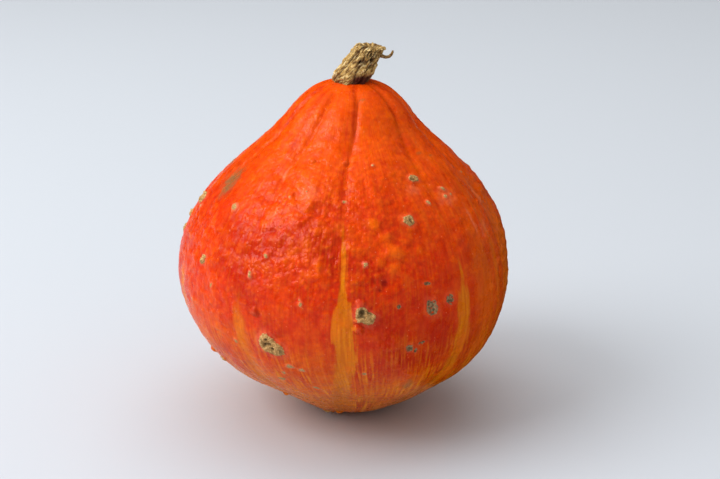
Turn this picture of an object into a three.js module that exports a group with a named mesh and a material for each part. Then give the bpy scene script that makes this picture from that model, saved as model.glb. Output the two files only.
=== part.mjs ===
// A whole red kuri squash: a teardrop-shaped winter squash with its dried, corky stem still on.
// It stands on the small flat spot at its blossom end.
//
// Frame: millimetres, +Z up along the fruit's axis. The origin lies on the surface that the squash stands on,
// under the middle of its bounding box.

import * as THREE from "three";

// ---- Driving dimensions ------------------------------------------------------------------------

const FRUIT_WIDTH = 170; // across the belly, at the widest
const FRUIT_HEIGHT = 173; // from the flat spot to the seat of the stem
const FLAT_SPOT_WIDTH = 30; // across the flat spot that it stands on
const STEM_SEAT_WIDTH = 19; // across the level spot that the stem grew from

const STEM_LENGTH = 18; // straight up, from its seat to its cut end
const STEM_BASE_WIDTH = 17;
const STEM_TOP_WIDTH = 13;
const STEM_LEAN = 10; // how far the cut end lies to the right of the seat
const STEM_GAP = 0.3; // between the stem and the fruit

// ---- The fruit ---------------------------------------------------------------------------------

// The outline from the flat spot up to the stem's seat. Each point is a share of half the width and a share
// of the height, and the outline is one smooth curve through them.
const OUTLINE = [
  [0.25, 0.009],
  [0.345, 0.03],
  [0.455, 0.064],
  [0.6, 0.116],
  [0.79, 0.192],
  [0.93, 0.284],
  [1.0, 0.4],
  [0.975, 0.53],
  [0.855, 0.652],
  [0.645, 0.773],
  [0.42, 0.876],
  [0.31, 0.944],
  [0.225, 0.979],
];
const OUTLINE_STEPS = 38;
const AROUND_STEPS = 90;

// Ten seams run from the stem to the blossom end, and the ribs swell softly between them.
// Degrees round the fruit from the front, which faces -Y, towards +X.
const SEAMS = [-73, -36, 0, 43, 79, 114, 148, 183, 218, 252];

// How deep a seam lies below its ribs, in mm, from the flat spot to the stem, as shares of the height.
const SEAM_DEPTHS = [[0.02, 0], [0.12, 0.9], [0.4, 0.5], [0.6, 0.9], [0.8, 1.5], [0.94, 0.8], [0.985, 0]];

// The fruit grew a little crooked: how far the middle of each level lies to the right, in mm.
const LEAN = [[0, 3], [0.04, 5], [0.15, 5.2], [0.32, 1.6], [0.45, 0.8], [0.65, 2], [0.85, 3.2], [1, 4.5]];

// The value at a height, read from a list of [share of the height, value] with soft steps between.
function valueAt(table, share) {
  const upper = table.findIndex(([level]) => level >= share);
  if (upper === 0) return table[0][1];
  if (upper < 0) return table.at(-1)[1];
  const [lowShare, lowValue] = table[upper - 1];
  const [highShare, highValue] = table[upper];
  return THREE.MathUtils.lerp(lowValue, highValue, THREE.MathUtils.smoothstep(share, lowShare, highShare));
}

// How far across its rib a direction lies: 0 on a seam, 1 on the crest of a rib.
function ribSwell(degrees) {
  const turned = THREE.MathUtils.euclideanModulo(degrees - SEAMS[0], 360);
  const starts = SEAMS.map((seam) => seam - SEAMS[0]);
  const rib = starts.findLastIndex((start) => start <= turned);
  const end = starts[rib + 1] ?? 360;
  const across = (turned - starts[rib]) / (end - starts[rib]);
  return Math.sqrt(Math.sin(Math.PI * across));
}

function fruitGeometry() {
  const halfWidth = FRUIT_WIDTH / 2;
  const curve = new THREE.SplineCurve([
    new THREE.Vector2(FLAT_SPOT_WIDTH / 2, 0),
    ...OUTLINE.map(([across, up]) => new THREE.Vector2(across * halfWidth, up * FRUIT_HEIGHT)),
    new THREE.Vector2(STEM_SEAT_WIDTH / 2, FRUIT_HEIGHT),
  ]);
  const profile = [
    new THREE.Vector2(0, 0),
    ...curve.getSpacedPoints(OUTLINE_STEPS),
    new THREE.Vector2(0, FRUIT_HEIGHT),
  ];
  const geometry = new THREE.LatheGeometry(profile, AROUND_STEPS);
  geometry.rotateX(Math.PI / 2);

  const position = geometry.attributes.position;
  for (let index = 0; index < position.count; index += 1) {
    const x = position.getX(index);
    const y = position.getY(index);
    const z = position.getZ(index);
    const share = z / FRUIT_HEIGHT;
    const radius = Math.hypot(x, y);
    const degrees = THREE.MathUtils.radToDeg(Math.atan2(x, -y));
    const dip = valueAt(SEAM_DEPTHS, share) * (1 - ribSwell(degrees));
    const scale = radius > 0 ? (radius - dip) / radius : 1;
    position.setXY(index, x * scale + valueAt(LEAN, share), y * scale);
  }
  return geometry;
}

// ---- The stem ----------------------------------------------------------------------------------

const STEM_RIDGES = 9;
const STEM_RIDGE_DEPTH = 0.7;
const STEM_AROUND_STEPS = 54;
const STEM_UP_STEPS = 8;

function stemGeometry() {
  const geometry = new THREE.CylinderGeometry(
    STEM_TOP_WIDTH / 2,
    STEM_BASE_WIDTH / 2,
    STEM_LENGTH,
    STEM_AROUND_STEPS,
    STEM_UP_STEPS,
  );
  geometry.rotateX(Math.PI / 2);
  geometry.translate(0, 0, STEM_LENGTH / 2);

  // The dried ridges twist a little on their way up, and the whole stem leans to the right.
  const position = geometry.attributes.position;
  for (let index = 0; index < position.count; index += 1) {
    const x = position.getX(index);
    const y = position.getY(index);
    const up = position.getZ(index) / STEM_LENGTH;
    const radius = Math.hypot(x, y);
    const angle = Math.atan2(x, -y);
    const ridge = STEM_RIDGE_DEPTH * Math.cos(STEM_RIDGES * angle + 2 * up);
    const scale = radius > 1 ? (radius + ridge) / radius : 1;
    position.setXY(index, x * scale + STEM_LEAN * up, y * scale);
  }
  return geometry;
}

// ---- The squash --------------------------------------------------------------------------------

const skin = new THREE.MeshStandardMaterial({ color: 0xd8480a, roughness: 0.42, metalness: 0 });
const cork = new THREE.MeshStandardMaterial({ color: 0xb09058, roughness: 0.9, metalness: 0 });

const fruit = new THREE.Mesh(fruitGeometry(), skin);
fruit.name = "fruit";

const stem = new THREE.Mesh(stemGeometry(), cork);
stem.name = "stem";
stem.position.set(valueAt(LEAN, 1), 0, FRUIT_HEIGHT + STEM_GAP);

const squash = new THREE.Group();
squash.add(fruit, stem);

// The middle of the bounding box comes to stand over the origin.
const middle = new THREE.Box3().setFromObject(squash).getCenter(new THREE.Vector3());
squash.position.set(-middle.x, -middle.y, 0);

export default squash;
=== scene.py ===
# %% [markdown]
# # A red kuri squash
#
# This lesson builds one whole winter squash on a pale table. The fruit is one fine mesh, shaped by numbers:
# a smooth outline spun round an axis, then ribs, dents and corky warts pressed into it. The stem is a second
# mesh, a dry and furrowed stub. Both are coloured by nodes alone.
#
# The frame holds the squash at its real size, so its boxes give every size and place that is used below.

# %% Load the frame
import math
import random

import bmesh
import bpy
import numpy as np
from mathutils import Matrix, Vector, noise


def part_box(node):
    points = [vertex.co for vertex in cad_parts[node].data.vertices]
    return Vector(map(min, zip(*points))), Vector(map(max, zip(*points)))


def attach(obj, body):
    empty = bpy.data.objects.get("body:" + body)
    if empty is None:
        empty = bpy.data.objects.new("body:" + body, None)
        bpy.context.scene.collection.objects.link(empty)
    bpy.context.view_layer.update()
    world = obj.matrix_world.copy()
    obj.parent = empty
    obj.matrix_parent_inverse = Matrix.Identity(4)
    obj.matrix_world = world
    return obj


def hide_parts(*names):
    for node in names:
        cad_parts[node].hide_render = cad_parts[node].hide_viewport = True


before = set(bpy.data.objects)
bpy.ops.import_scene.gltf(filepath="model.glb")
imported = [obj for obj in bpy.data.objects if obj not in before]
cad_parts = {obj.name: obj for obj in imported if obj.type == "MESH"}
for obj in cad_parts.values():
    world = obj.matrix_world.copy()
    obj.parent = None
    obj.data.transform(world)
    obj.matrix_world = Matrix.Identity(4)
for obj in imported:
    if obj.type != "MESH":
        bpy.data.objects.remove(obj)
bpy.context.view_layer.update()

fruit_low, fruit_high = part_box("fruit")
stem_low, stem_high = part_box("stem")

MM = 0.001  # the frame is in metres, and the shaping below is in millimetres
HALF_WIDTH = (fruit_high[0] - fruit_low[0]) / 2 / MM
HEIGHT = (fruit_high[2] - fruit_low[2]) / MM
print(f"the fruit is {2 * HALF_WIDTH:.0f} mm across and {HEIGHT:.0f} mm high")

# %% [markdown]
# ## Helpers for shaping
#
# A real fruit has no exact curves, so most shapes here are read from a few given knots with a smooth curve
# through them. The same helpers ease one shape into another and make soft lumps of a chosen size.
# They work on whole arrays of points, which is what keeps a mesh of this many points quick to build.


# %% Curves, easing and lumps
def through(knots, at):
    """A smooth curve through (place, value) knots, read at the places in an array."""
    places, values = np.array(knots, float).T
    slopes = np.gradient(values, places)
    at = np.clip(at, places[0], places[-1])
    left = np.clip(np.searchsorted(places, at) - 1, 0, len(places) - 2)
    step = places[left + 1] - places[left]
    t = (at - places[left]) / step
    rise = t * t * (3 - 2 * t)
    value = values[left] * (1 - rise) + values[left + 1] * rise
    value += step * slopes[left] * t * (1 - t) ** 2
    value += step * slopes[left + 1] * t * t * (t - 1)
    return value


def ease(start, end, at):
    """Goes softly from 0 at start to 1 at end."""
    t = np.clip((at - start) / (end - start), 0, 1)
    return t * t * (3 - 2 * t)


def lumps(points, size):
    """Soft noise from about -1 to 1, with lumps about size across."""
    return np.array([noise.noise(point) for point in (points / size).tolist()])


# %% [markdown]
# ## The outline of the fruit
#
# Seen from the side, a red kuri is a teardrop: a small flat spot to stand on, a full belly and a neck that
# narrows to the stem. The outline is given as shares of the half width and of the height, and is spun round
# the axis. A crooked axis keeps it from looking turned on a lathe. Every point of the skin has two
# coordinates: its azimuth round the fruit, and its share of the way along the outline.

# %% The bare surface
OUTLINE = [
    (0, 0),
    (0.088, 0),
    (0.176, 0),
    (0.25, 0.009),
    (0.345, 0.03),
    (0.455, 0.064),
    (0.6, 0.116),
    (0.79, 0.192),
    (0.93, 0.284),
    (1.0, 0.4),
    (0.975, 0.53),
    (0.855, 0.652),
    (0.645, 0.773),
    (0.42, 0.876),
    (0.31, 0.944),
    (0.225, 0.979),
    (0.112, 1),
    (0, 1),
]
LEAN = [(0, 2.1), (0.04, 4), (0.15, 4.3), (0.32, 0.7), (0.45, -0.1), (0.65, 1.1), (0.85, 2.3), (1, 3.6)]

knots = np.array(OUTLINE) * (HALF_WIDTH, HEIGHT)
walk = np.concatenate([[0], np.cumsum(np.hypot(*np.diff(knots, axis=0).T))])
along = np.linspace(0, walk[-1], 2000)
outline_across = np.maximum(through(list(zip(walk, knots[:, 0])), along), 0)
outline_up = np.maximum.accumulate(np.clip(through(list(zip(walk, knots[:, 1])), along), 0, HEIGHT))
outline_share = along / walk[-1]
outline_out = np.gradient(outline_up, along)
outline_down = np.gradient(outline_across, along)


def bare_surface(azimuth, share):
    """Points of the bare fruit in mm, and the way that the skin faces there."""
    across = np.interp(share, outline_share, outline_across)
    up = np.interp(share, outline_share, outline_up)
    out = np.interp(share, outline_share, outline_out)
    down = np.interp(share, outline_share, outline_down)
    aside, ahead = np.sin(azimuth), -np.cos(azimuth)
    points = np.stack([through(LEAN, up / HEIGHT) + across * aside, across * ahead, up], -1)
    facing = np.stack([out * aside, out * ahead, -down], -1)
    return points, facing / np.linalg.norm(facing, axis=-1, keepdims=True)


def share_at(up):
    """How far along the outline a height in mm lies."""
    return np.interp(up, outline_up, outline_share)


print(f"the outline is {walk[-1]:.0f} mm long")

# %% [markdown]
# ## Marks on the skin
#
# This squash has a rough skin. Corky warts grow where the skin was hurt, small nubs have a tan tip, pimples
# are smooth and as orange as the rest, scabs are grey and sunk, and flecks are thin pale scratches. Each mark
# is one line: its kind, its azimuth in degrees, its height and its width and length in mm. The largest
# warts also have a drawn outline, as radii at every 30 degrees.

# %% The marks
WARTS = [
    # kind, azimuth, height, width, length, turn
    ("cork", -23.6, 63.5, 12.5, 10.5, 0),
    ("cork", 7.2, 81, 9.8, 9.4, 0),
    ("scab", 29.6, 81, 8.4, 9.2, 0),
    ("scab", 36.8, 83, 5.2, 6, 20),
    ("cork", 25.6, 119.5, 6, 5.6, 0),
    ("cork", 36.3, 135.2, 6, 4.2, -20),
    ("nub", 37.9, 125, 3, 3, 0),
    ("nub", 49, 125.5, 3, 2.6, 0),
    ("nub", 50, 128.5, 4.4, 2.4, -35),
    ("nub", 53, 125.5, 1.8, 1.8, 0),
    ("cork", -56.4, 95, 5.2, 5, 0),
    ("nub", -51, 120, 4.6, 5, 20),
    ("scab", 21.6, 62.5, 4, 4.6, 0),
    ("scab", 23.8, 60.8, 2.4, 2.6, 0),
    ("scab", 26, 64.2, 4, 1.6, 10),
    ("nub", -32.4, 95.7, 2.6, 4.6, 12),
    ("nub", -48.4, 85.4, 2.6, 3.8, 0),
    ("nub", -59.6, 73.5, 1.6, 2.2, 0),
    ("nub", -13.7, 88.2, 1.3, 1.3, 0),
    ("nub", -13.2, 86, 2.2, 2.6, 0),
    ("pimple", -29.2, 79.2, 4.2, 4.2, 0),
    ("pimple", 4.8, 74.8, 4.8, 4.4, 0),
    ("pimple", 5.6, 87.2, 4.4, 3.6, 0),
    ("pimple", 4.8, 79, 3, 2.4, 0),
    ("nub", 7.2, 103.7, 2.6, 3.4, -30),
    ("pimple", -22.4, 143.3, 3.4, 2.6, 0),
    ("pimple", -1.2, 143.7, 2.6, 2.6, 0),
    ("nub", 14.8, 141.6, 1.7, 1.7, 0),
    ("nub", -0.8, 128.8, 2.8, 1.7, 0),
    ("nub", -26.4, 128.8, 1.8, 1.6, 0),
    ("nub", -19.2, 131.6, 1.7, 1.7, 0),
    ("nub", -28, 104.8, 2.6, 2.6, 0),
    ("scab", 18, 84.2, 2.6, 2.4, 0),
    ("scab", 28.4, 92.7, 4.2, 2, -8),
    ("fleck", -18.8, 52.3, 5.4, 3.8, 0),
    ("fleck", -22.4, 47.2, 3, 3, 0),
    ("fleck", -25.2, 42, 5.6, 3.4, -10),
    ("fleck", -14.8, 50.6, 4.2, 2.6, -22),
    ("fleck", -13, 37.5, 5, 2.8, -25),
    ("fleck", 6.4, 49, 2.6, 2.8, 0),
    ("nub", -38.8, 59.9, 2.6, 3.2, 20),
    ("cork", -84, 114, 8, 7, 0),
    ("cork", -88, 104.5, 4.6, 5, 0),
    ("cork", -88, 97, 3.4, 4.6, 0),
    ("nub", -79.5, 111.5, 2.8, 3, 0),
    ("pimple", -63, 43.5, 4.6, 3.6, 0),
    ("cork", -57, 41, 4.6, 3.2, -20),
    ("pimple", -47, 17, 3.2, 2.6, 0),
    ("cork", -26, 3.6, 6.5, 2.6, 0),
    ("pimple", -12, 5, 4, 2.6, 0),
    ("nub", 79.5, 129.7, 1.8, 1.6, 0),
    ("pimple", 70, 94.5, 1.6, 1.6, 0),
    ("pimple", 70, 118, 2.4, 2, 0),
]
DRAWN_OUTLINES = {
    0: (6.2, 4.2, 3.8, 5.4, 7.2, 7.1, 6.6, 6.4, 5.0, 5.4, 6.2, 7.8),
    1: (5.1, 3.4, 2.6, 4.4, 5.7, 5.4, 4.9, 4.7, 3.4, 4.0, 4.9, 4.8),
    2: (3.6, 3.6, 4.6, 3.6, 5.6, 4.0, 3.5, 4.2, 4.0, 4.4, 5.2, 4.5),
}
HOLES = [(1, -1.6, 2.2, 2.2), (0, -2.9, 0.4, 1.1), (0, 0.9, -1.2, 1.2), (0, -1.8, 3.6, 0.8)]

# The side away from the front has marks of its own, strewn with a fixed seed.
BACK_COUNTS = {"cork": 7, "scab": 5, "nub": 18, "pimple": 14, "fleck": 9}
SIZES = {"cork": (3.5, 8), "scab": (2.5, 6), "nub": (1.6, 3.4), "pimple": (2, 4.6), "fleck": (2, 4)}
strewn = random.Random(7)
for kind, count in BACK_COUNTS.items():
    for _ in range(count):
        width = strewn.uniform(*SIZES[kind])
        length = width * (0.4 if kind == "fleck" else strewn.uniform(0.75, 1.2))
        height = strewn.uniform(30, 60) if kind == "fleck" else strewn.uniform(42, 145)
        WARTS.append((kind, strewn.uniform(98, 262), height, width, length, strewn.uniform(-40, 40)))
print(len(WARTS), "marks on the skin")

# %% [markdown]
# ## A mesh with no poles
#
# A sphere made of rings has crowded points at its poles. A cube that is cut into small squares and blown up
# into a ball has squares of nearly one size all over, so it takes detail evenly. Its squares are then cut
# finer around each mark, because a wart of 4 mm needs points a third of a millimetre apart, and the plain
# skin doesn't. Each point of the ball is a direction, which gives an azimuth and a share of the outline.

# %% Build the ball and refine it around the marks
BALL_STEPS = 98
MARK_RIM = 1.35  # how far past its own radius a mark still shapes the skin
FINE_KINDS = ("cork", "scab")


def ball_mesh():
    ball = bmesh.new()
    bmesh.ops.create_cube(ball, size=2)
    bmesh.ops.subdivide_edges(ball, edges=ball.edges[:], cuts=BALL_STEPS - 1, use_grid_fill=True)
    for vert in ball.verts:
        vert.co = Vector([math.tan(value * math.pi / 4) for value in vert.co]).normalized()
    return ball


def skin_coordinates(ball):
    """The azimuth and the share of the outline of every point of the ball."""
    x, y, z = np.array([vert.co for vert in ball.verts]).T
    return np.arctan2(x, -y), np.arccos(np.clip(-z, -1, 1)) / math.pi


def mark_centres():
    azimuth = np.radians([mark[1] for mark in WARTS])
    share = share_at(np.array([mark[2] for mark in WARTS]))
    return bare_surface(azimuth, share)


def refine(ball, kinds, reach):
    """Cuts the squares around marks of these kinds into four."""
    points, _ = bare_surface(*skin_coordinates(ball))
    near = np.zeros(len(points), bool)
    centres, _ = mark_centres()
    for (kind, _, _, width, length, _), centre in zip(WARTS, centres):
        if kind in kinds:
            near |= np.linalg.norm(points - centre, axis=1) < reach * max(width, length) / 2 + 0.8
    ball.verts.ensure_lookup_table()
    edges = {edge for index in np.flatnonzero(near) for edge in ball.verts[index].link_edges}
    bmesh.ops.subdivide_edges(ball, edges=list(edges), cuts=1, use_grid_fill=True)
    for vert in ball.verts:
        vert.co.normalize()


ball = ball_mesh()
refine(ball, ("cork", "scab", "nub", "pimple", "fleck"), MARK_RIM)
refine(ball, FINE_KINDS, 1.05)
azimuth, share = skin_coordinates(ball)
bare, facing = bare_surface(azimuth, share)
level = bare[:, 2] / HEIGHT
print(len(ball.verts), "points on the skin")

# %% [markdown]
# ## Ribs and seams
#
# Ten seams run from the stem to the blossom end, and the flesh swells softly between them. A seam is a crisp
# crease near the stem and hardly sunk at the belly. All the seams bend the same way near the top, as if the
# stem had been turned a little.

# %% Where the seams run
SEAMS = (-73, -36, 0, 43, 79, 114, 148, 183, 218, 252)  # degrees from the front
TOP_TWIST = 10  # degrees
LOW_TURN = 8  # degrees
SWELL_DEPTH = [(0, 0), (0.1, 1.1), (0.4, 0.5), (0.62, 0.9), (0.82, 1.4), (0.95, 0.7), (1, 0)]
CREASE_DEPTH = [(0, 0), (0.08, 0.35), (0.35, 0.1), (0.6, 0.2), (0.8, 0.5), (0.93, 1.2), (0.985, 1.2), (1, 0)]
CREASE_WIDTH = 1.5

wander = 1.6 * lumps(np.stack([np.cos(azimuth) * 2, np.sin(azimuth) * 2, level * 3.5], -1), 1)
twist = TOP_TWIST * ease(0.78, 1, level) - LOW_TURN * ease(0.32, 0.04, level)
untwisted = np.degrees(azimuth) - twist + wander
seam_turn = (untwisted - SEAMS[0]) % 360
starts = np.array(SEAMS + (SEAMS[0] + 360,)) - SEAMS[0]
rib = np.clip(np.searchsorted(starts, seam_turn, side="right") - 1, 0, len(SEAMS) - 1)
rib_width = starts[rib + 1] - starts[rib]
across_rib = (seam_turn - starts[rib]) / rib_width
radius = np.interp(share, outline_share, outline_across)
seam_distance = np.minimum(across_rib, 1 - across_rib) * np.radians(rib_width) * radius

swell = through(SWELL_DEPTH, level) * (np.sin(math.pi * across_rib) - 0.85)
crease_width = CREASE_WIDTH * (1 - 0.4 * ease(0.7, 0.92, level))
crease = through(CREASE_DEPTH, level) * np.exp(-((seam_distance / crease_width) ** 2))
ribs = swell - crease

# %% [markdown]
# ## Dents and wrinkles
#
# The skin isn't smooth between the warts. Broad lumps make the whole fruit a little uneven, and on much of
# the belly and shoulder the skin looks hammered: short, soft creases with swellings between them. Noise whose
# sign is dropped gives such creases, because it folds sharply where it passes through nought. Fine ridges
# also run lengthwise, and show most near the neck and low on the belly.

# %% Uneven skin
body = ease(0.02, 0.12, level) * (1 - ease(0.9, 0.99, level))
girth = np.stack([np.sin(azimuth), -np.cos(azimuth)], -1)
lengthwise = np.column_stack([girth * HALF_WIDTH, level * HEIGHT * 0.12])
stirred = bare + 3.2 * np.stack([lumps(bare + side, 8) for side in (110, 150, 190)], -1)
# Single swellings on the right of the front, and pits (depth below nought). The rind paints the swellings
# more yellow, partly as painted light, and the pits deep red as painted shade.
SWELLINGS = [
    # azimuth, height, width, rise
    (11, 120, 6, 0.9),
    (15.5, 114, 5, 0.8),
    (18, 107, 7, 1.1),
    (12, 104, 5, 0.8),
    (22, 112, 4.5, 0.7),
    (27, 107, 4, 0.6),
    (-9, 103, 6, 0.8),
    (-14, 112, 6, 0.8),
    (17, 100, 4, 0.7),
    (10, 96.5, 2.2, -1.1),
    (13.6, 95.4, 3, -1.4),
    (12, 92.5, 2, -0.8),
    (14.5, 118, 2.6, -0.7),
    (20, 103, 2.4, -0.7),
    (-7, 108, 3, -0.7),
]
lumpy = np.zeros(len(bare))
half_stirred = 0.3 * stirred + 0.7 * bare
for lump_azimuth, up, width, lift in SWELLINGS:
    middle, _ = bare_surface(np.radians([lump_azimuth]), share_at(np.array([up])))
    far = np.linalg.norm(half_stirred - middle[0], axis=1) / (0.55 * width)
    lumpy += lift * np.exp(-(far**2))

crosswise = stirred @ np.array([(0.55, -0.48, 0.2), (0.42, 0.62, 0.33), (-0.38, -0.26, 1.1)])

# The front is hammered most, about 12 degrees to the left of its middle.
front = np.exp(-(((np.degrees(azimuth) + 12) / 36) ** 2))
front *= ease(0.42, 0.6, level) * (1 - ease(0.72, 0.9, level))
patches = ease(-0.25, 0.35, lumps(bare + 31, 52))
hammered = body * np.clip(0.16 + 0.84 * np.maximum(front, 0.5 * patches * ease(0.3, 0.5, level)), 0, 1)

broad = 1.1 * lumps(bare, 46) + 0.6 * lumps(bare + 77, 24)
folds = np.abs(lumps(crosswise + 5, 7.5)) ** 0.8
small_folds = np.abs(lumps(crosswise - 19, 3.8))
dents = hammered * (1.8 * (folds - 0.3) + 1.0 * (small_folds - 0.2))
pebbles = (0.5 * lumps(bare + 9, 3.6) + 0.2 * lumps(bare - 40, 2)) * (0.4 + 0.6 * hammered)
ridges = 0.2 * lumps(lengthwise + 3, 5) * np.clip(1.2 - 1.5 * hammered, 0.2, 1) * ease(18, 50, radius)
uneven = body * (broad + dents + pebbles + ridges) + lumpy
print(f"the skin rises and falls by {np.ptp(uneven):.1f} mm")

# %% [markdown]
# ## Warts, pimples, scabs and flecks
#
# Each mark is shaped in its own small plan, with its middle at nought and its rim at one. A drawn or wobbling
# outline says where the rim lies. A cork wart is a low table with a crumbly top, sunk holes and a collar of
# swollen skin. A scab is a sunken, speckled floor with a broken rim. The same plan gives the masks that the
# skin's material reads later: how corky, how dark (dark specks, and painted shade between the cork's crumbs and
# in its holes), how pale, how ashen.

# %% Shape the marks
raised = np.zeros(len(bare))
cork = np.zeros(len(bare))
dark_and_shade = np.zeros(len(bare))
pale = np.zeros(len(bare))
ash = np.zeros(len(bare))


def plan_of(mark, centre, out):
    """Near points, their places on the mark's plan in mm, and how far out they lie, with 1 at its rim."""
    _, _, _, width, length, turn = WARTS[mark]
    east = np.cross((0, 0, 1), out)
    east /= np.linalg.norm(east)
    north = np.cross(out, east)
    near = np.flatnonzero(np.linalg.norm(bare - centre, axis=1) < 0.9 * max(width, length))
    x, y = (bare[near] - centre) @ east, (bare[near] - centre) @ north
    angle = np.arctan2(y, x) - math.radians(turn)
    reach = np.hypot(x, y)
    if mark in DRAWN_OUTLINES:
        radii = np.array(DRAWN_OUTLINES[mark])
        rim = np.interp(np.degrees(angle) % 360, np.arange(0, 390, 30), np.append(radii, radii[0]))
    else:
        wide, long = width / 2, length / 2
        rim = wide * long / np.hypot(long * np.cos(angle), wide * np.sin(angle))
        lobes = np.stack([np.cos(angle), np.sin(angle), np.full(len(angle), mark * 1.7)], -1)
        rim *= 1 + 0.22 * lumps(lobes, 0.55)
    rim = rim * (1 + 0.1 * lumps(bare[near] + mark, 0.9))
    return near, x, y, reach / rim


def shape_mark(mark, centre, out):
    kind, _, _, width, length, _ = WARTS[mark]
    near, x, y, far = plan_of(mark, centre, out)
    size = min(width, length)
    flat = 1 - ease(0.72, 1.08, far)
    dome = np.sqrt(np.clip(1 - (far / 1.15) ** 2, 0, 1))
    collar = np.exp(-(((far - 1.1) / 0.28) ** 2))
    crumbs = lumps(bare[near] + 3 * mark, 0.9 + 0.13 * size)
    grit = lumps(bare[near] - mark, 0.7)
    if kind == "cork":
        raised[near] += flat * (0.19 * size + 1.0 * crumbs + 0.25 * grit) + 0.045 * size * collar
        cork[near] = np.maximum(cork[near], 1 - ease(0.86, 1.04, far))
        # Painted shade in the low places between the crumbs.
        dark_and_shade[near] = np.maximum(dark_and_shade[near], ease(0.1, 0.6, -crumbs) * flat * 0.75)
        pale[near] = np.maximum(pale[near], 0.35 * collar)
    elif kind == "scab":
        rim = np.exp(-(((far - 0.85) / 0.22) ** 2))
        raised[near] += rim * (0.35 + 0.25 * crumbs) - 0.35 * flat + 0.15 * grit * flat
        crust = (1 - ease(0.75, 1.05, far + 0.3 * grit)) * ease(-0.6, -0.25, grit - 0.3 * far)
        cork[near] = np.maximum(cork[near], crust)
        specks = ease(0.4, -0.3, lumps(bare[near] + mark, 1.1))
        dark_and_shade[near] = np.maximum(dark_and_shade[near], (1 - ease(0.6, 1, far)) * (0.05 + 0.65 * specks))
        ash[near] = np.maximum(ash[near], 1 - ease(1, 1.2, far))
        pale[near] = np.maximum(pale[near], 0.2 * collar)
    elif kind == "nub":
        raised[near] += dome * size * 0.27 + 0.12 * grit * flat
        cork[near] = np.maximum(cork[near], 1 - ease(0.5, 0.78, far + 0.25 * grit))
        pale[near] = np.maximum(pale[near], 0.75 * (1 - ease(0.8, 1.3, far)))
    elif kind == "pimple":
        raised[near] += dome * size * 0.36 - 0.07 * size * collar
        pale[near] = np.maximum(pale[near], 0.3 * (1 - ease(0.1, 0.9, far)))
    else:
        raised[near] += dome * 0.2 + 0.1 * grit * flat
        cork[near] = np.maximum(cork[near], 0.85 * (1 - ease(0.5, 0.95, far + 0.3 * grit)))
        ash[near] = np.maximum(ash[near], 0.5 * (1 - ease(0.9, 1.2, far)))
        pale[near] = np.maximum(pale[near], 0.9 * (1 - ease(0.6, 1.2, far)))


def sink_hole(centre, out, right, up, width):
    """A sunk hole in a cork wart, off its middle by so many mm, painted dark inside as painted shade."""
    east = np.cross((0, 0, 1), out)
    east /= np.linalg.norm(east)
    middle = centre + right * east + up * np.cross(out, east)
    hole = 1 - ease(0.3, 1, np.linalg.norm(bare - middle, axis=1) / width)
    raised[:] -= 1.1 * hole
    dark_and_shade[:] = np.maximum(dark_and_shade, hole)


centres, outs = mark_centres()
for mark in range(len(WARTS)):
    shape_mark(mark, centres[mark], outs[mark])
for mark, right, up, width in HOLES:
    sink_hole(centres[mark], outs[mark], right, up, width)

# The blossom end: a shallow corky ring in the middle of the flat spot.
SCAR_RADIUS = 7
from_scar = np.where(level < 0.05, radius / SCAR_RADIUS, 9)
scar = 1 - ease(0.8, 1.05, from_scar + 0.12 * lumps(bare, 3))
raised -= 0.9 * scar
cork = np.maximum(cork, scar)
dark_and_shade = np.maximum(dark_and_shade, scar * ease(0, 0.6, -lumps(bare, 2.2)))

skin_points = bare + facing * (ribs + uneven + raised)[:, None]
skin_points[:, 2] = np.maximum(skin_points[:, 2], 0)
print(f"the highest mark stands {raised.max():.1f} mm proud")

# %% [markdown]
# ## What the skin's colours need to know
#
# The material can't know where a seam or a wart lies, so the mesh carries that as named values on its points.
# `seam` holds the sine and cosine of the way across a rib, and the rib's width in mm. An angle that is kept
# like this has no jump half way between two seams. `stripe` is half the width of the pale stripe on the
# seam, `swelling` is above nought on the lumps, which are painted yellower, partly as painted light, and below it
# in the pits, which are painted red as painted shade, and `sunned` says where the skin turned ochre. `crest` is
# high on raised skin and low in its hollows, and the rind paints light and shade from it. `grain` is a place on
# the fruit whose height is squeezed, so that noise read from it is drawn out lengthwise into streaks.

# %% Values on the mesh
STRIPE_WIDTH = [
    # share of the height, half the width in mm
    (0, 5.5),
    (0.16, 5.4),
    (0.3, 5.2),
    (0.47, 4.8),
    (0.53, 2.2),
    (0.65, 1.8),
    (0.8, 0.9),
    (1, 0.6),
]
STRIPE_TOP = (0.52, 0.5, 0.67, 0.56, 0.5, 0.6, 0.7, 0.5, 0.6, 0.7)
STRIPE_BLUR = (3, 3, 1, 1.3, 3, 2, 1.2, 3, 2.5, 1.5)
STRIPE_STRENGTH = (0.7, 0.55, 1, 0.8, 0.8, 0.7, 0.9, 0.8, 0.7, 0.9)

nearest_seam = np.where(across_rib < 0.5, rib, (rib + 1) % len(SEAMS))
stripe = through(STRIPE_WIDTH, level) * np.array(STRIPE_STRENGTH)[nearest_seam]
stripe_top = np.array(STRIPE_TOP)[nearest_seam] + 0.06 * lumps(bare, 9)
stripe *= 1 - 0.9 * ease(-0.06, 0.06, level - stripe_top)
stripe_blur = np.array(STRIPE_BLUR)[nearest_seam]
turn = 2 * math.pi * across_rib
seam = np.stack([np.sin(turn), np.cos(turn), np.radians(rib_width) * radius], -1)

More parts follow.
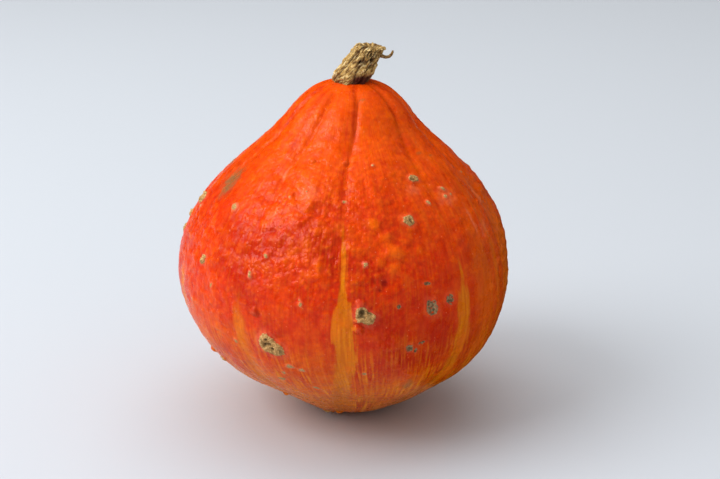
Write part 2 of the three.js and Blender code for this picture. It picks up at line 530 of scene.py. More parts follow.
SCUFFS = [
    # azimuth, height, width, length, strength
    (-70, 127, 18, 20, 1),
    (-93, 130, 7, 5, 0.8),
    (52, 143.5, 5, 1.8, 0.6),
    (60, 141, 4, 2, 0.5),
    (16, 168, 5, 1.2, 0.8),
    (150, 120, 8, 5, 0.7),
    (205, 96, 6, 12, 0.6),
    (236, 138, 5, 4, 0.7),
]
scuff = np.zeros(len(bare))
for scuff_azimuth, up, width, length, amount in SCUFFS:
    middle, out = bare_surface(np.radians([scuff_azimuth]), share_at(np.array([up])))
    east = np.cross((0, 0, 1), out[0])
    east /= np.linalg.norm(east)
    offset = bare - middle[0]
    far = np.hypot(offset @ east / (width / 2), (offset @ np.cross(out[0], east)) / (length / 2))
    scuff = np.maximum(scuff, amount * (1 - ease(0.3, 1.2, far + 0.5 * lumps(bare, 3))))

# The right side and the foot ripened more to ochre than to red.
sunned = np.clip(ease(32, 70, np.degrees(azimuth)) * ease(0.88, 0.5, level) + ease(0.3, 0.1, level), 0, 1)

# Long pale scrapes.
SCRAPES = [
    # azimuth, height, width, length
    (57, 113, 2, 15),
    (61, 107, 1.6, 9),
    (74, 118, 1.6, 22),
    (-30, 122, 1.2, 7),
    (-36, 137, 1, 9),
    (187, 88, 2, 14),
    (141, 70, 1.6, 10),
]
for scrape_azimuth, up, width, length in SCRAPES:
    middle, _ = bare_surface(np.radians([scrape_azimuth]), share_at(np.array([up])))
    sideways = (azimuth - math.radians(scrape_azimuth) + math.pi) % (2 * math.pi) - math.pi
    far = np.hypot(sideways * radius / (width / 2), (bare[:, 2] - up) / (length / 2))
    pale = np.maximum(pale, 0.75 * (1 - ease(0.3, 1.3, far + 0.5 * lumps(bare, 2))))

# Soft pale blooms, each an azimuth, a height, a width and a length.
BLOOMS = [(50, 125, 12, 8), (33, 131, 8, 5), (6, 148.5, 3.6, 2.6), (64, 108, 4, 9), (-18, 131, 10, 9)]
for bloom_azimuth, up, width, length in BLOOMS:
    middle, _ = bare_surface(np.radians([bloom_azimuth]), share_at(np.array([up])))
    far = np.linalg.norm((bare - middle[0]) / (width / 2, width / 2, length / 2), axis=1)
    pale = np.maximum(pale, 0.45 * (1 - ease(0.4, 1.4, far + 0.6 * lumps(bare, 2))))

SKIN_VALUES = {
    "sunned": sunned,
    "swelling": lumpy,
    "stripe": stripe,
    "stripe_blur": stripe_blur,
    "stripe_fade": ease(-0.04, 0.06, stripe_top - level),
    "level": level,
    # crest is high on raised skin and low in hollows: the rind paints light and shade from it
    "crest": np.clip(0.5 + 0.4 * (dents + pebbles) + 0.6 * lumpy, 0, 1),
    "hammered": hammered,
    "cork": cork,
    "dark_and_shade": dark_and_shade,
    "pale": pale,
    "ash": ash,
    "scuff": scuff,
}
grain = np.column_stack([girth * HALF_WIDTH, share * walk[-1] * 0.06])


def add_values(mesh, values, kind="FLOAT"):
    for name, value in values.items():
        layer = mesh.attributes.new(name, kind, "POINT")
        field = "vector" if kind == "FLOAT_VECTOR" else "value"
        layer.data.foreach_set(field, np.asarray(value, np.float32).ravel())


fruit_mesh = bpy.data.meshes.new("fruit_skin")
ball.to_mesh(fruit_mesh)
ball.free()
fruit_mesh.vertices.foreach_set("co", (skin_points * MM).astype(np.float32).ravel())
add_values(fruit_mesh, SKIN_VALUES)
add_values(fruit_mesh, {"grain": grain, "seam": seam}, "FLOAT_VECTOR")
fruit_mesh.shade_smooth()
fruit_mesh.update()

fruit = bpy.data.objects.new("kuri_fruit", fruit_mesh)
bpy.context.collection.objects.link(fruit)
triangles = sum(len(face.vertices) - 2 for face in fruit_mesh.polygons)
print(f"{triangles} triangles in the fruit")

# %% [markdown]
# ## Short names for nodes
#
# Materials are graphs of small nodes. These helpers add one node each and take either a number or the output
# of another node, so that the recipe of a material reads from top to bottom. All noise here is read in mm.


# %% Node helpers
def add_node(tree, kind, inputs=None, **settings):
    node = tree.nodes.new(kind)
    for name, value in settings.items():
        setattr(node, name, value)
    for socket, value in (inputs or {}).items():
        if isinstance(value, bpy.types.NodeSocket):
            tree.links.new(value, node.inputs[socket])
        else:
            node.inputs[socket].default_value = value
    return node


def noise_of(tree, place, size, detail=3.0, roughness=0.55):
    """Noise from 0 to 1 with lumps about size mm across."""
    inputs = {"Vector": place, "Scale": 1 / size, "Detail": detail, "Roughness": roughness}
    return add_node(tree, "ShaderNodeTexNoise", inputs).outputs["Fac"]


def remap(tree, value, low, high, to_low=0.0, to_high=1.0):
    inputs = {"Value": value, "From Min": low, "From Max": high, "To Min": to_low, "To Max": to_high}
    return add_node(tree, "ShaderNodeMapRange", inputs, interpolation_type="SMOOTHSTEP").outputs["Result"]


def compute(tree, operation, *values):
    inputs = dict(enumerate(values))
    return add_node(tree, "ShaderNodeMath", inputs, operation=operation).outputs["Value"]


def blend(tree, amount, first, second):
    """Goes from the first colour to the second as amount goes from 0 to 1."""
    # A Mix node has sockets for every kind of data; 6 and 7 are its colours in, and 2 is its colour out.
    inputs = {0: amount, 6: first, 7: second}
    return add_node(tree, "ShaderNodeMix", inputs, data_type="RGBA").outputs[2]


def read_value(tree, name, output="Fac"):
    return add_node(tree, "ShaderNodeAttribute", attribute_name=name).outputs[output]


def place_in_mm(tree):
    place = add_node(tree, "ShaderNodeTexCoord").outputs["Object"]
    inputs = {0: place, "Scale": 1 / MM}
    return add_node(tree, "ShaderNodeVectorMath", inputs, operation="SCALE").outputs["Vector"]


def rgb(red, green, blue):
    return (red, green, blue, 1)


def new_material(name, colour):
    """A material whose nodes are still to come, and its shader."""
    material = bpy.data.materials.new(name)
    material.use_nodes = True
    material.diffuse_color = colour
    return material, material.node_tree, material.node_tree.nodes["Principled BSDF"]


def new_group(name, inputs, outputs):
    """A node group with named sockets."""
    group = bpy.data.node_groups.new(name, "ShaderNodeTree")
    for in_out, sockets in (("INPUT", inputs), ("OUTPUT", outputs)):
        for socket, kind in sockets.items():
            group.interface.new_socket(socket, in_out=in_out, socket_type=f"NodeSocket{kind}")
    return group, group.nodes.new("NodeGroupInput").outputs, group.nodes.new("NodeGroupOutput").inputs


# %% [markdown]
# ## Dry cork, for warts and stem alike
#
# The warts and the stem are the same dead, corky tissue: straw-coloured on its crests, darker in its pores and
# almost black in its cracks. That near-black is painted shade, laid in cracks, holes and furrows, and on the
# scabs also over their real dark specks. Because both materials need it, it is a node group. Each material places
# the group with its own colours and pore size, and tells it where the deep places are.

# %% The group for dry cork
cork_group, given, result = new_group(
    "dry_cork",
    {
        "Place": "Vector",
        "Pore Size": "Float",
        "Deep": "Float",
        "Light": "Color",
        "Shade": "Color",
        "Crack": "Color",
    },
    {"Color": "Color", "Height": "Float"},
)
finer = compute(cork_group, "DIVIDE", 1.0, given["Pore Size"])
inputs = {"Vector": given["Place"], "Scale": finer, "Detail": 4.0, "Roughness": 0.65}
pores = add_node(cork_group, "ShaderNodeTexNoise", inputs).outputs["Fac"]
inputs = {"Vector": given["Place"], "Scale": finer}
cells = add_node(cork_group, "ShaderNodeTexVoronoi", inputs, feature="F1").outputs["Distance"]
patches = noise_of(cork_group, given["Place"], 2.6, 2.0)
cell_shade = remap(cork_group, cells, 0.3, 0.8, 0, 0.5)
shade = compute(cork_group, "ADD", remap(cork_group, pores, 0.38, 0.62), cell_shade)
crust = blend(cork_group, shade, given["Light"], given["Shade"])
crust = blend(cork_group, remap(cork_group, patches, 0.4, 0.75, 0, 0.6), crust, given["Shade"])
# Painted shade: the Crack colour goes where the material marks deep places, and on scabs also over real dark
# specks.
crack_shade = compute(cork_group, "MULTIPLY", given["Deep"], remap(cork_group, pores, 0.25, 0.6, 1, 0.75))
cork_group.links.new(blend(cork_group, crack_shade, crust, given["Crack"]), result["Color"])
pore_height = compute(cork_group, "MULTIPLY", pores, 0.5)
height = compute(cork_group, "SUBTRACT", pore_height, compute(cork_group, "MULTIPLY", cells, 0.35))
cork_group.links.new(height, result["Height"])


def place_cork(tree, place, pore_size, deep, light, shade, crack):
    group = tree.nodes.new("ShaderNodeGroup")
    group.node_tree = cork_group
    for name, value in {"Place": place, "Deep": deep}.items():
        tree.links.new(value, group.inputs[name])
    for name, value in {"Pore Size": pore_size, "Light": light, "Shade": shade, "Crack": crack}.items():
        group.inputs[name].default_value = value
    return group.outputs["Color"], group.outputs["Height"]


# %% [markdown]
# ## The rind
#
# A kuri's rind is a deep red-orange that is never even. It is clearest orange on the neck, reddest round the
# belly and ochre near the floor, and the lower belly is made darker as painted shade. Soft bands and fine streaks
# run lengthwise, swellings between the dents are painted more yellow, partly as painted light, and the seams
# carry ochre stripes with stepped edges. The recipe lays these down one by one, as a painter would, and ends with
# the pale specks, the scuffs and the cork of the warts.

# %% The colours of the rind
NECK_ORANGE = rgb(0.83, 0.1, 0.0003)
RED_ORANGE = rgb(0.78, 0.054, 0.0003)
DEEP_RED = rgb(0.5, 0.012, 0.0003)
# The deep red that is painted as shade in the pits.
PIT_SHADE_RED = rgb(0.4, 0.008, 0.0003)
AMBER = rgb(0.97, 0.19, 0.001)
OCHRE = rgb(0.77, 0.195, 0.001)
STRIPE_OCHRE = rgb(0.7, 0.18, 0.001)
GOLD = rgb(0.95, 0.37, 0.004)
LOW_OCHRE = rgb(0.8, 0.25, 0.006)
BLOOM_PINK = rgb(0.95, 0.3, 0.16)
SCUFF_BROWN = rgb(0.3, 0.16, 0.06)

rind, tree, shader = new_material("kuri_rind", RED_ORANGE)
place = place_in_mm(tree)
lengthways = read_value(tree, "grain", "Vector")
level_value = read_value(tree, "level")
crest = read_value(tree, "crest")

wandering = remap(tree, noise_of(tree, place, 28), 0.25, 0.75, -0.09, 0.09)
uneven_level = compute(tree, "ADD", level_value, wandering)
tone = add_node(tree, "ShaderNodeValToRGB", {"Fac": uneven_level})
# The stop at 0.38 is darker red: painted shade on the lower belly, which faces away from the light.
BELLY_STOPS = [(0.2, rgb(0.8, 0.15, 0.001)), (0.38, rgb(0.68, 0.04, 0.0003)), (0.6, rgb(0.75, 0.05, 0.0003))]
for spot, colour in BELLY_STOPS:
    tone.color_ramp.elements.new(spot).color = colour
tone.color_ramp.elements[0].color = LOW_OCHRE
tone.color_ramp.elements[-1].position = 0.82
tone.color_ramp.elements[-1].color = NECK_ORANGE
skin = tone.outputs["Color"]

# %% [markdown]
# ## Bands, blotches, mottle and streaks
#
# The rind's red lies in layers. Broad bands run lengthwise, deep red blotches gather round the belly, and a
# fine mottle follows the dents: part of it is random, and part is painted light and shade, amber on the crests,
# pebbles and swellings and deep red in their hollows and pits. Where the fruit had sun, and at its foot, it
# turned ochre and gold in thin streaks. Each layer is a noise of its own size, blended over the layers below it.

# %% Bands, blotches, mottle and streaks
bands = noise_of(tree, lengthways, 17, 2.0)
skin = blend(tree, remap(tree, bands, 0.5, 0.72, 0, 0.4), skin, DEEP_RED)
skin = blend(tree, remap(tree, bands, 0.46, 0.3, 0, 0.45), skin, NECK_ORANGE)

belly = remap(tree, compute(tree, "ABSOLUTE", compute(tree, "SUBTRACT", level_value, 0.5)), 0.4, 0.12)
blotches = noise_of(tree, place, 30, 2.0)
blotched = compute(tree, "MULTIPLY", belly, remap(tree, blotches, 0.46, 0.62, 0, 0.65))
skin = blend(tree, blotched, skin, DEEP_RED)

# Painted light and shade mixed with a random mottle: the crest value makes raised skin amber and hollows deep
# red.
mottle_and_shading = compute(tree, "ADD", noise_of(tree, place, 7.5, 4.0), compute(tree, "MULTIPLY", crest, 0.34))
skin = blend(tree, remap(tree, mottle_and_shading, 0.62, 0.95, 0, 0.42), skin, AMBER)
skin = blend(tree, remap(tree, mottle_and_shading, 0.62, 0.42, 0, 0.45), skin, DEEP_RED)

pebbled = compute(tree, "ADD", 0.35, compute(tree, "MULTIPLY", read_value(tree, "hammered"), 0.65))
stir = noise_of(tree, place, 3, 2.0)
stirred_place = add_node(tree, "ShaderNodeVectorMath", {0: place, 1: stir}, operation="ADD").outputs["Vector"]
inputs = {"Vector": stirred_place, "Scale": 1 / 2.3, "Smoothness": 0.5}
domes = add_node(tree, "ShaderNodeTexVoronoi", inputs, feature="SMOOTH_F1").outputs["Distance"]
domes = remap(tree, domes, 0.1, 0.75, 0.75, 0.25)
pebble = blend(tree, 0.5, noise_of(tree, place, 2.6, 3.0, 0.6), domes)
# Painted shade in the hollows of the pebbles and painted light on their tops; the same pebbles also make the
# bump.
pebble_shade = compute(tree, "MULTIPLY", pebbled, remap(tree, pebble, 0.5, 0.32, 0, 0.42))
skin = blend(tree, pebble_shade, skin, DEEP_RED)
skin = blend(tree, compute(tree, "MULTIPLY", pebbled, remap(tree, pebble, 0.52, 0.7, 0, 0.35)), skin, AMBER)

swelling = read_value(tree, "swelling")
# Amber on the swellings is partly painted light; deep red in the pits is painted shade.
skin = blend(tree, remap(tree, swelling, 0.15, 1, 0, 0.5), skin, AMBER)
skin = blend(tree, remap(tree, swelling, -0.1, -1, 0, 0.7), skin, PIT_SHADE_RED)

sun_bands = remap(tree, noise_of(tree, lengthways, 9), 0.35, 0.65, 0.3, 0.75)
sunned = compute(tree, "MULTIPLY", read_value(tree, "sunned"), sun_bands)
skin = blend(tree, sunned, skin, OCHRE)

streaks = noise_of(tree, lengthways, 1.2, 4.0, 0.65)
patchy = remap(tree, noise_of(tree, place, 16), 0.35, 0.65, 0.35, 1)
low_down = compute(tree, "MULTIPLY", remap(tree, level_value, 0.44, 0.14, 0.12, 1), patchy)
pale_streaks = compute(tree, "MULTIPLY", low_down, remap(tree, streaks, 0.48, 0.62, 0, 0.95))
skin = blend(tree, pale_streaks, skin, GOLD)
deep_streaks = compute(tree, "MULTIPLY", low_down, remap(tree, streaks, 0.49, 0.37, 0, 0.7))
skin = blend(tree, deep_streaks, skin, DEEP_RED)

# %% [markdown]
# ## Stripes on the seams
#
# Each seam carries an ochre stripe that is widest low down and fades out above the belly. The stripe is found
# from the distance to the seam in mm: inside half its width it is ochre. Noise moves its edge in and out, in
# broad steps and in fine jags, and each seam has its own blur and strength, as on the real fruit.

# %% Stripes on the seams
split = add_node(tree, "ShaderNodeSeparateXYZ", {0: read_value(tree, "seam", "Vector")}).outputs
turned = compute(tree, "ABSOLUTE", compute(tree, "ARCTAN2", split["X"], split["Y"]))
from_seam = compute(tree, "MULTIPLY", turned, compute(tree, "MULTIPLY", split["Z"], 1 / (2 * math.pi)))
half_stripe = read_value(tree, "stripe")
stepped = remap(tree, noise_of(tree, place, 9, 2.0), 0.42, 0.58, 0.85, 1.12)
jagged = remap(tree, noise_of(tree, lengthways, 1.6, 3.0), 0.3, 0.7, -0.8, 0.8)
reach = compute(tree, "ADD", compute(tree, "MULTIPLY", half_stripe, stepped), jagged)
blur = read_value(tree, "stripe_blur")
inside = compute(tree, "DIVIDE", compute(tree, "SUBTRACT", reach, from_seam), blur)
strength = compute(tree, "DIVIDE", 0.92, compute(tree, "POWER", blur, 0.25))
strength = compute(tree, "MULTIPLY", strength, read_value(tree, "stripe_fade"))
stripe_mask = compute(tree, "MULTIPLY", remap(tree, inside, -0.7, 0.9), strength)
stripe_colour = blend(tree, remap(tree, streaks, 0.4, 0.66, 0, 0.5), STRIPE_OCHRE, GOLD)
stripe_colour = blend(tree, remap(tree, noise_of(tree, place, 9), 0.45, 0.7, 0, 0.4), stripe_colour, AMBER)
skin = blend(tree, stripe_mask, skin, stripe_colour)

# %% [markdown]
# ## Specks, bloom and scuffs
#
# Tiny pale specks are the skin's pores. A cell texture gives one dot to each cell, and a random colour per
# cell picks the few that show. Bloom is a pale haze round nubs, flecks and scrapes, and a scuff is a rubbed,
# brown place. Their masks come from the mesh, and noise breaks them up.

# %% Specks, bloom and scuffs
inputs = {"Vector": place, "Scale": 1 / 2.6, "Randomness": 1.0}
speck = add_node(tree, "ShaderNodeTexVoronoi", inputs, feature="F1")
picked = add_node(tree, "ShaderNodeSeparateColor", {0: speck.outputs["Color"]}).outputs[0]
sparse = remap(tree, picked, 0.55, 0.6)
specks = compute(tree, "MULTIPLY", sparse, remap(tree, speck.outputs["Distance"], 0.16, 0.07, 0, 0.5))
skin = blend(tree, specks, skin, BLOOM_PINK)
skin = blend(tree, compute(tree, "MULTIPLY", read_value(tree, "pale"), 0.55), skin, BLOOM_PINK)
rubbed = remap(tree, noise_of(tree, place, 1.6), 0.3, 0.6, 0.5, 0.95)
scuffed = compute(tree, "MULTIPLY", read_value(tree, "scuff"), rubbed)
skin = blend(tree, scuffed, skin, SCUFF_BROWN)

# %% [markdown]
# ## Cork on the warts
#
# The dry cork group colours the warts straw, with dark pores and holes. Scabs and flecks have weathered, so
# ash grey is blended over theirs. The mask's edge is frayed with noise, because cork doesn't end in a line.

# %% Cork on the warts
STRAW = rgb(0.8, 0.54, 0.25)
CORK_SHADE = rgb(0.46, 0.25, 0.09)
CORK_DARK_AND_SHADE = rgb(0.035, 0.022, 0.008)
ASH_GREY = rgb(0.38, 0.27, 0.17)
WART_PORE = 0.7  # mm
# The dark value is painted shade in the cork's hollows and holes, and real dark specks on the scabs and the scar.
deep = read_value(tree, "dark_and_shade")
cork_colour, cork_height = place_cork(tree, place, WART_PORE, deep, STRAW, CORK_SHADE, CORK_DARK_AND_SHADE)
ashen = compute(tree, "MULTIPLY", read_value(tree, "ash"), 0.65)
cork_colour = blend(tree, ashen, cork_colour, blend(tree, deep, ASH_GREY, CORK_DARK_AND_SHADE))
cork_value = read_value(tree, "cork")
frayed = compute(tree, "ADD", cork_value, remap(tree, noise_of(tree, place, 0.8), 0.3, 0.7, -0.2, 0.2))
cork_mask = remap(tree, frayed, 0.35, 0.6)
skin = blend(tree, cork_mask, skin, cork_colour)
tree.links.new(skin, shader.inputs["Base Color"])

# %% [markdown]
# ## Shine and fine relief of the rind
#
# A ripe rind is waxy: half glossy, with a broad soft sheen that breaks up over tiny bumps. The sheen comes
# from a low but uneven roughness, and from an IOR near that of water, which keeps the red from looking milky. The
# tiny bumps are too small for the mesh, so a Bump node makes them: pebbles all over, hair-fine lengthwise
# lines, wrinkles low down, and the crumbs of the cork.

# %% Roughness and bump
waxy = remap(tree, noise_of(tree, place, 5, 3.0), 0.3, 0.7, 0.22, 0.38)
dull = blend(tree, cork_mask, waxy, (0.92, 0.92, 0.92, 1))
tree.links.new(dull, shader.inputs["Roughness"])
shader.inputs["IOR"].default_value = 1.36

pebbles = compute(tree, "MULTIPLY", compute(tree, "MULTIPLY", pebble, pebbled), 1.1)
hairlines = compute(tree, "MULTIPLY", noise_of(tree, lengthways, 1.1, 3.0), 0.16)
relief = compute(tree, "ADD", pebbles, hairlines)
# Low on the belly the skin also wrinkles crosswise: noise that is drawn out sideways.
inputs = {0: place, 1: (0.12, 0.12, 1)}
ringed = add_node(tree, "ShaderNodeVectorMath", inputs, operation="MULTIPLY").outputs["Vector"]
wrinkled = remap(tree, level_value, 0.4, 0.1, 0, 0.5)
wrinkles = compute(tree, "MULTIPLY", noise_of(tree, ringed, 1.0, 3.0), wrinkled)
relief = compute(tree, "ADD", relief, wrinkles)
crumbs = compute(tree, "MULTIPLY", compute(tree, "MULTIPLY", cork_height, cork_mask), 0.7)
relief = compute(tree, "ADD", relief, crumbs)
inputs = {"Height": relief, "Distance": MM, "Strength": 0.85}
tree.links.new(add_node(tree, "ShaderNodeBump", inputs).outputs["Normal"], shader.inputs["Normal"])
fruit_mesh.materials.append(rind)
print("the rind has", len(tree.nodes), "nodes")

# %% [markdown]
# ## The stem
#
# The stem is a short, dry stub. It leans to the right, and as it dried its flesh sank between the tough
# fibres, so it is all furrows and wavy ridges, with a few holes and a ragged cut end. The furrows and holes are
# painted dark as painted shade. It is swept up a leaning line as rings of points, and each ring is pushed in and
# out by noise that is drawn out lengthwise.

# %% Sweep and furrow the stem
STEM_RINGS = 110
STEM_AROUND = 210
END_RINGS = 16
STEM_RADIUS = [(0, 8.6), (0.08, 8.9), (0.3, 8.6), (0.6, 7.7), (0.9, 7), (1, 6.7)]
STEM_MIDDLE_RADIUS = 7.5
STEM_HOLES = [
    # azimuth, share of the way up, width
    (18, 0.78, 1.0),
    (30, 0.66, 1.2),
    (38, 0.46, 1.0),
    (-12, 0.55, 0.7),
    (160, 0.6, 1.1),
    (225, 0.4, 0.9),
]

stem_box = np.array([stem_low, stem_high]) / MM
stem_base = np.array([stem_box[0, 0] + 9.2, stem_box[:, 1].mean(), stem_box[0, 2] - 0.8])
stem_top = np.array([stem_box[1, 0] - 7.2, stem_box[:, 1].mean(), stem_box[1, 2]])

around = np.linspace(0, 2 * math.pi, STEM_AROUND, endpoint=False)
side_rise = np.linspace(0, 1, STEM_RINGS)
rise = np.concatenate([side_rise, np.ones(END_RINGS)])
inward = np.concatenate([np.ones(STEM_RINGS), np.linspace(1, 0, END_RINGS + 1)[1:]])
rise, turn = (grid.ravel() for grid in np.meshgrid(rise, around, indexing="ij"))
inward = np.repeat(inward, STEM_AROUND)

stem_length = stem_top[2] - stem_base[2]
twisted = turn - 0.35 * rise
stem_place = np.stack([np.sin(twisted) * 8, -np.cos(twisted) * 8, rise * stem_length * 0.4], -1)
wide_folds = np.abs(lumps(stem_place, 4.2)) ** 0.6
fine_folds = np.abs(lumps(stem_place * (1, 1, 1.7) + 40, 1.7)) ** 0.7
knobs = lumps(stem_place * (1, 1, 3), 5)
bulge = 1.7 * np.exp(-(((turn - 1.5 * math.pi) / 0.8) ** 2) - ((rise - 0.25) / 0.2) ** 2)
furrows = 2.0 * (wide_folds - 0.45) + 1.5 * (fine_folds - 0.35)
# Painted shade, darkest at the bottoms of the furrows that the same folds make.
stem_shade = np.clip(1.55 - 2.2 * wide_folds - 1.4 * fine_folds, 0, 1)
pits = np.zeros(len(rise))
for hole_azimuth, up, width in STEM_HOLES:
    sideways = (turn - math.radians(hole_azimuth) + math.pi) % (2 * math.pi) - math.pi
    off = np.abs(sideways) * STEM_MIDDLE_RADIUS
    far = np.hypot(off / width, (rise - up) * stem_length / (1.5 * width))
    pits = np.maximum(pits, 1 - ease(0.35, 1, far))
stem_radius = through(STEM_RADIUS, rise) + furrows + 0.7 * knobs + bulge - 1.8 * pits

end = 1 - inward
ragged = (0.8 * lumps(stem_place, 3) + 0.5 * lumps(stem_place + 9, 1.2) - 0.9) * ease(0.8, 1, rise)
sunk = -1.5 * ease(0.05, 0.5, end) + 0.5 * ease(0.6, 1, end)
axis = stem_base + (stem_top - stem_base) * (rise + 0.12 * rise * (1 - rise))[:, None]
outward = np.stack([np.sin(turn), -np.cos(turn), np.zeros(len(turn))], -1)
stem_points = axis + outward * (stem_radius * inward)[:, None]
end_grit = 0.5 * lumps(stem_points, 1.3) * ease(0, 0.2, end)
end_slope = -0.96 * np.sin(turn) * rise * inward
stem_points[:, 2] += ragged * inward + sunk + end_grit + end_slope
# The holes are painted dark as painted shade too.
stem_shade = np.maximum(stem_shade * inward, pits)
# Painted shade at the stem's foot, where it meets the fruit, strongest on the front-right side, away from the
# light.
shaded_side = 0.25 + 1.1 * np.exp(-(((turn - 0.5) / 0.75) ** 2))
base_shade = (1 - ease(0.1, 0.34, rise + 0.1 * knobs)) * shaded_side

rings = STEM_RINGS + END_RINGS
corner = np.arange((rings - 1) * STEM_AROUND).reshape(rings - 1, STEM_AROUND)
beside = np.roll(corner, -1, axis=1)
squares = np.stack([corner, beside, beside + STEM_AROUND, corner + STEM_AROUND], -1).reshape(-1, 4)
stem_mesh = bpy.data.meshes.new("stem_cork")
bottom = list(range(STEM_AROUND))[::-1]
stem_mesh.from_pydata((stem_points * MM).tolist(), [], squares.tolist() + [bottom])
add_values(stem_mesh, {"dark_and_shade": stem_shade, "foot_shade": base_shade})
add_values(stem_mesh, {"grain": stem_place}, "FLOAT_VECTOR")
tidy = bmesh.new()
tidy.from_mesh(stem_mesh)
bmesh.ops.remove_doubles(tidy, verts=tidy.verts, dist=0.00001)
tidy.to_mesh(stem_mesh)
tidy.free()
stem_mesh.shade_smooth()
stem = bpy.data.objects.new("dried_stem", stem_mesh)
bpy.context.collection.objects.link(stem)
print(f"the stem is {stem_length:.0f} mm high with {len(stem_mesh.polygons)} faces")

# %% [markdown]
# ## A torn fibre
#
# One fibre has come loose at the cut end and curls away like a little hook. A curve through a few points with
# a round section gives it its shape, and its radius fades towards the tip. It is turned into a mesh so that
# it takes the same cork as the stem.

# %% Curl the fibre
FIBRE = [
    # mm to the right of the stem's top, behind it and above it
    (4.6, -1, -5.2),
    (6.4, -1.4, -6.1),
    (8.2, -1.7, -6.3),
    (9.7, -1.7, -5.7),
    (10.7, -1.6, -4.3),
    (11, -1.5, -2.9),
]
FIBRE_RADII = (1.0, 0.85, 0.75, 0.75, 0.7, 0.4)

hook = bpy.data.curves.new("torn_fibre", "CURVE")
hook.dimensions = "3D"
hook.bevel_depth = MM
hook.bevel_resolution = 4
hook.resolution_u = 10
hook.use_fill_caps = True
line = hook.splines.new("NURBS")
line.points.add(len(FIBRE) - 1)
line.use_endpoint_u = True
line.order_u = 4
for point, offset, fibre_radius in zip(line.points, FIBRE, FIBRE_RADII):
    point.co = (*((stem_top + offset) * MM), 1)
    point.radius = fibre_radius
shaper = bpy.data.objects.new("hook_shaper", hook)
fibre_mesh = bpy.data.meshes.new_from_object(shaper)
bpy.data.objects.remove(shaper)
fibre_places = np.array([vert.co for vert in fibre_mesh.vertices]) / MM
shaken = fibre_places + 0.12 * np.stack([lumps(fibre_places + side, 1.1) for side in (0, 20, 40)], -1)
fibre_mesh.vertices.foreach_set("co", (shaken * MM).astype(np.float32).ravel())
one_each = np.ones(len(shaken))
# The fibre takes a fixed share of the stem's painted shades, which makes it evenly darker.
add_values(fibre_mesh, {"dark_and_shade": 0.3 * one_each, "foot_shade": 0.35 * one_each})
add_values(fibre_mesh, {"grain": shaken}, "FLOAT_VECTOR")
fibre_mesh.shade_smooth()
fibre = bpy.data.objects.new("torn_fibre", fibre_mesh)
bpy.context.collection.objects.link(fibre)

# %% [markdown]
# ## The stem's material
#
# The stem is the same dry cork as the warts, with strands drawn along it. The strands are noise read from
# `grain`, the same noise that makes their bump: brown where they part, as painted shade, and pale straw where
# they stand up, as painted highlight. Its foot is painted dark red-brown as painted shade, most at the front and
# to the right, where it grew out of the fruit.

# %% The stem's material
STEM_STRAW = rgb(0.86, 0.64, 0.29)
STEM_SHADE = rgb(0.5, 0.3, 0.085)
STEM_CRACK_SHADE = rgb(0.06, 0.018, 0.004)
STEM_GAP_SHADE = rgb(0.17, 0.07, 0.018)
STEM_HIGHLIGHT = rgb(0.98, 0.82, 0.5)
STEM_FOOT_SHADE = rgb(0.1, 0.016, 0.003)

stem_material, tree, shader = new_material("stem_cork", STEM_STRAW)
place = place_in_mm(tree)
fibres = read_value(tree, "grain", "Vector")
furrow_shade = read_value(tree, "dark_and_shade")
colour, height = place_cork(tree, place, 0.9, furrow_shade, STEM_STRAW, STEM_SHADE, STEM_CRACK_SHADE)
strands = noise_of(tree, fibres, 1.1, 4.0, 0.6)
# Painted shade where the strands part and a painted highlight where they stand up.
colour = blend(tree, remap(tree, strands, 0.48, 0.36, 0, 0.8), colour, STEM_GAP_SHADE)
colour = blend(tree, remap(tree, strands, 0.54, 0.68, 0, 0.7), colour, STEM_HIGHLIGHT)
# Painted shade at the foot of the stem.
colour = blend(tree, compute(tree, "MULTIPLY", read_value(tree, "foot_shade"), 0.9), colour, STEM_FOOT_SHADE)
tree.links.new(colour, shader.inputs["Base Color"])
shader.inputs["Roughness"].default_value = 0.85
strand_relief = compute(tree, "MULTIPLY", strands, 1.3)
relief = compute(tree, "ADD", compute(tree, "MULTIPLY", height, 0.2), strand_relief)
inputs = {"Height": relief, "Distance": MM, "Strength": 0.9}
tree.links.new(add_node(tree, "ShaderNodeBump", inputs).outputs["Normal"], shader.inputs["Normal"])
stem_mesh.materials.append(stem_material)
fibre_mesh.materials.append(stem_material)

# %% [markdown]
# ## Everything rides on the root
#
# Nothing on a squash moves, so the three pieces ride on the one body. The fruit and the stem stand for the
# plain solids of the same names, which are hidden.

# %% Tie the pieces to the frame
for piece in (fruit, stem, fibre):
    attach(piece, "root")
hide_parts("fruit")
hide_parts("stem")

# %% [markdown]
# ## Table, light and camera
#
# The squash stands on a plain pale table by a large window. A wide area light to the left is the window: its
# size is what makes the sheen broad and the shadow soft. A pale sky round the scene fills the shadows. A black
# card lies flat on the right, where only shine can see it, so that side keeps its deep colour. The
# camera looks a little down, through a long lens from about 70 cm, so that the fruit keeps its true shape.

# %% Set the stage
TABLE_SIZE = 40.0
TABLE_WHITE = rgb(0.59, 0.61, 0.635)
SKY = rgb(0.98, 0.99, 1)
CARD_BLACK = rgb(0, 0, 0)
CARD_CORNERS = [(0.05, -0.5), (1.5, -0.5), (1.5, 1.5), (0.05, 1.5)]

table_mesh = bpy.data.meshes.new("table")
edge = TABLE_SIZE / 2
table_corners = [(-edge, -edge, 0), (edge, -edge, 0), (edge, edge, 0), (-edge, edge, 0)]
table_mesh.from_pydata(table_corners, [], [(0, 1, 2, 3)])
table = bpy.data.objects.new("table", table_mesh)
bpy.context.collection.objects.link(table)
table_top, tree, shader = new_material("table_white", TABLE_WHITE)
shader.inputs["Base Color"].default_value = TABLE_WHITE
shader.inputs["Roughness"].default_value = 0.7
table_mesh.materials.append(table_top)

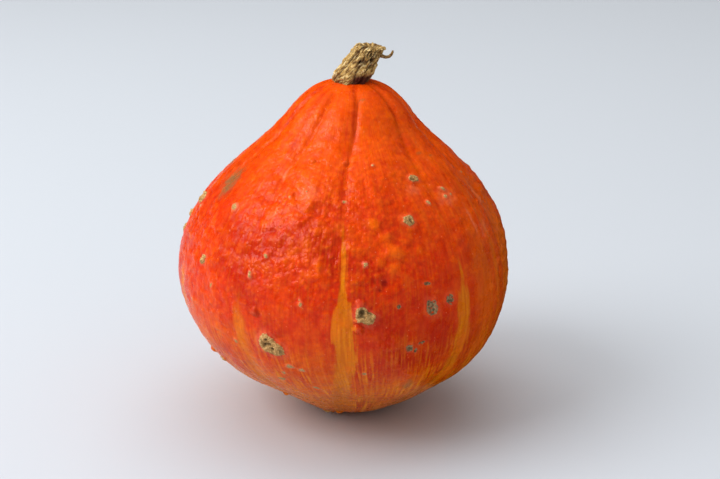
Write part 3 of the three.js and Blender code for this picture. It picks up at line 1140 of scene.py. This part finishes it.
world = bpy.data.worlds.new("room")
bpy.context.scene.world = world
world.use_nodes = True
world.node_tree.nodes["Background"].inputs["Color"].default_value = SKY
world.node_tree.nodes["Background"].inputs["Strength"].default_value = 0.68
world.cycles_visibility.glossy = False


def add_light(name, place, aim, size, power, colour):
    light = bpy.data.lights.new(name, "AREA")
    light.shape = "RECTANGLE"
    light.size, light.size_y = size
    light.energy = power
    light.color = colour
    lamp = bpy.data.objects.new(name, light)
    lamp.location = place
    lamp.rotation_euler = (Vector(aim) - Vector(place)).to_track_quat("-Z", "Y").to_euler()
    bpy.context.collection.objects.link(lamp)
    return lamp


daylight = add_light("daylight", (-1.6, 0.0, 1.3), (0, 0, 0.08), (3.2, 2.2), 17, (0.93, 0.96, 1))
daylight.visible_glossy = False
add_light("window", (-1.5, -0.6, 1.5), (0, 0, 0.08), (1.4, 1.1), 27, (0.93, 0.96, 1))
ceiling = add_light("ceiling", (-0.1, 0.9, 2.3), (0, 0.4, 0), (2.6, 2.6), 24, (0.97, 0.98, 1))
ceiling.visible_glossy = False

card_mesh = bpy.data.meshes.new("dark_card")
card_mesh.from_pydata([(x, y, MM) for x, y in CARD_CORNERS], [], [(0, 1, 2, 3)])
card = bpy.data.objects.new("dark_card", card_mesh)
bpy.context.collection.objects.link(card)
card_black, tree, shader = new_material("card_black", CARD_BLACK)
shader.inputs["Base Color"].default_value = CARD_BLACK
card_mesh.materials.append(card_black)
card.visible_camera = False
card.visible_diffuse = False
card.visible_shadow = False

# %% [markdown]
# ## The camera
#
# The camera aims near the middle of the fruit from 19 degrees above the table. The Standard view keeps the
# orange clear, where a film-like view would wash it out, and a gamma under one makes the middle tones firmer.

# %% Set the camera
LENS = 70
CAMERA_DISTANCE = 0.7227
CAMERA_ELEVATION = math.radians(19)
CAMERA_AIM = Vector((0.0081, 0, 0.0894))

camera_data = bpy.data.cameras.new("camera")
camera_data.lens = LENS
camera_data.sensor_width = 36
camera = bpy.data.objects.new("camera", camera_data)
back = Vector((0, -math.cos(CAMERA_ELEVATION), math.sin(CAMERA_ELEVATION)))
camera.location = CAMERA_AIM + CAMERA_DISTANCE * back
camera.rotation_euler = (-back).to_track_quat("-Z", "Y").to_euler()
bpy.context.collection.objects.link(camera)
bpy.context.scene.camera = camera
bpy.context.scene.view_settings.view_transform = "Standard"
bpy.context.scene.view_settings.gamma = 0.85
